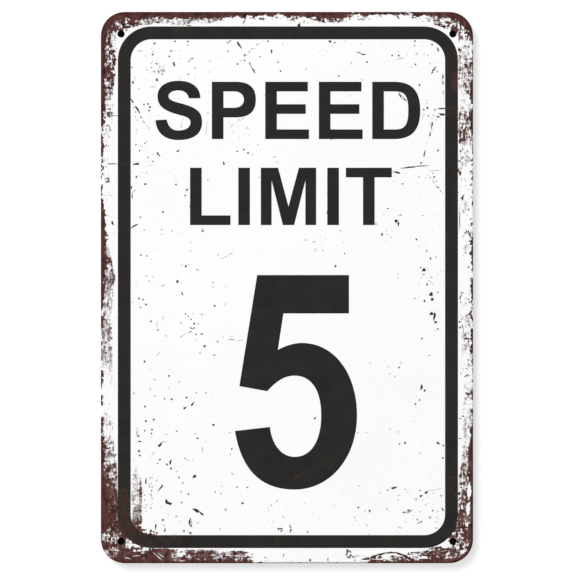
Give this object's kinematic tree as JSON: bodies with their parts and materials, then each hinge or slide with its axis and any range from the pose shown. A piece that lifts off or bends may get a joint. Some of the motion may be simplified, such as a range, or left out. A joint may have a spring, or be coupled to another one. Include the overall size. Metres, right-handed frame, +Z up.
{
  "type": "speed limit sign",
  "caption": "Upright sheet-metal speed limit sign with rounded corners, black border and numeral on white, a low turned-back rim and a fixing hole near each corner.",
  "frame": {"origin": "centre of the four fixing holes, in the plane of the sheet's back", "axes": "+X to the reader's right, +Z up the sign, -Y out of the printed face"},
  "size_m": [0.2026, 0.0013, 0.3],
  "materials": {
    "white_enamel": "satin white print on tinplate, rusted along its edges",
    "black_ink": "satin black ink"
  },
  "bodies": {
    "root": {"sign_plate": "white_enamel", "border_print": "black_ink", "word_speed": "black_ink", "word_limit": "black_ink", "numeral_five": "black_ink"}
  },
  "joints": []
}
